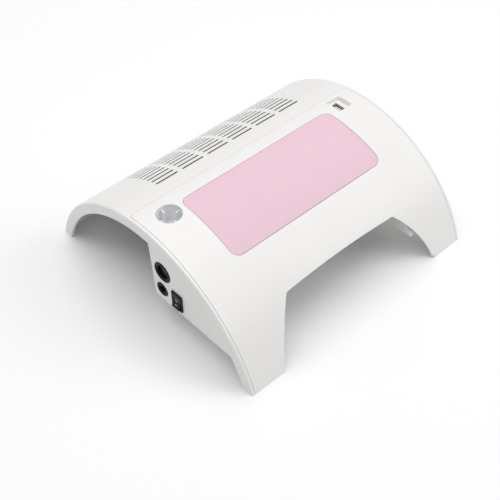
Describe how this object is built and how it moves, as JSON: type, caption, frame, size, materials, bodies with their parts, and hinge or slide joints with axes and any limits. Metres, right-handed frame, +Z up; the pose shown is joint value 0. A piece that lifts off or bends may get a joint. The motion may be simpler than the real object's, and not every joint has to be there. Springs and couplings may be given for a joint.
{
  "type": "manicure machine",
  "caption": "Desktop arch for nail care: soft hand rest on top, slotted dust intake over fans, lamp cavity in front, tool cup, and an end panel with sockets and a rocker switch.",
  "frame": {"origin": "on the desk under the middle of the arch", "axes": "+Z up, +X along the arch away from the control panel, +Y from the hand opening to the intake slots"},
  "size_m": [0.3031, 0.3, 0.11],
  "materials": {
    "white_abs": "moulded ABS, fine satin grain",
    "grey_abs": "moulded ABS, light grey, satin",
    "pink_pad": "soft foam pad with a smooth skin",
    "black_nylon": "glass-filled nylon, semi-matte",
    "filter_felt": "needled filter felt",
    "lamp_white": "glossy reflector plastic",
    "board_green": "solder-masked circuit board",
    "led_board_white": "white solder-masked lamp board",
    "plated_steel": "nickel-plated steel",
    "port_white": "white contact carrier"
  },
  "bodies": {
    "arch": {"main_shell": "white_abs", "front_cover": "white_abs", "hand_rest_pad": "pink_pad", "handpiece_cup": "white_abs", "port_shell": "plated_steel", "port_tongue": "port_white", "port_board": "board_green", "port_cap": "white_abs", "left_housing": "white_abs", "right_housing": "white_abs", "handpiece_socket": "black_nylon", "handpiece_socket_nut": "plated_steel", "dc_jack": "black_nylon", "dc_jack_nut": "plated_steel", "switch_body": "black_nylon", "power_board": "board_green", "lamp_driver_board": "board_green", "fan_duct": "grey_abs", "dust_filter": "filter_felt", "fan_frame_left": "black_nylon", "fan_frame_right": "black_nylon", "lamp_reflector": "lamp_white", "led_board": "led_board_white", "fan_screw_left_1": "plated_steel", "fan_screw_left_2": "plated_steel", "fan_screw_right_1": "plated_steel", "fan_screw_right_2": "plated_steel", "duct_screw_1": "plated_steel", "duct_screw_2": "plated_steel", "duct_screw_3": "plated_steel", "duct_screw_4": "plated_steel", "lamp_screw_1": "plated_steel", "lamp_screw_2": "plated_steel", "lamp_screw_3": "plated_steel", "lamp_screw_4": "plated_steel", "left_housing_screw_1": "plated_steel", "left_housing_screw_2": "plated_steel", "left_housing_screw_3": "plated_steel", "right_housing_screw_1": "plated_steel", "right_housing_screw_2": "plated_steel", "right_housing_screw_3": "plated_steel", "cap_screw_left": "plated_steel", "cap_screw_right": "plated_steel", "cover_screw_left": "plated_steel", "cover_screw_right": "plated_steel"},
    "rocker": {"switch_rocker": "black_nylon"},
    "rotor_left": {"fan_rotor_left": "black_nylon"},
    "rotor_right": {"fan_rotor_right": "black_nylon"}
  },
  "joints": [
    {"name": "rocker_tip", "type": "hinge", "parent": "arch", "child": "rocker", "pos_m": [-0.1486, -0.046, 0.0465], "axis": [0, -1, 0], "range_deg": [0, 18]},
    {"name": "rotor_left_spin", "type": "hinge", "parent": "arch", "child": "rotor_left", "pos_m": [-0.04897, 0.067, 0.0594], "axis": [0, 0.5319, 0.8468], "continuous": true},
    {"name": "rotor_right_spin", "type": "hinge", "parent": "arch", "child": "rotor_right", "pos_m": [0.04897, 0.067, 0.0594], "axis": [0, 0.5319, 0.8468], "continuous": true}
  ]
}
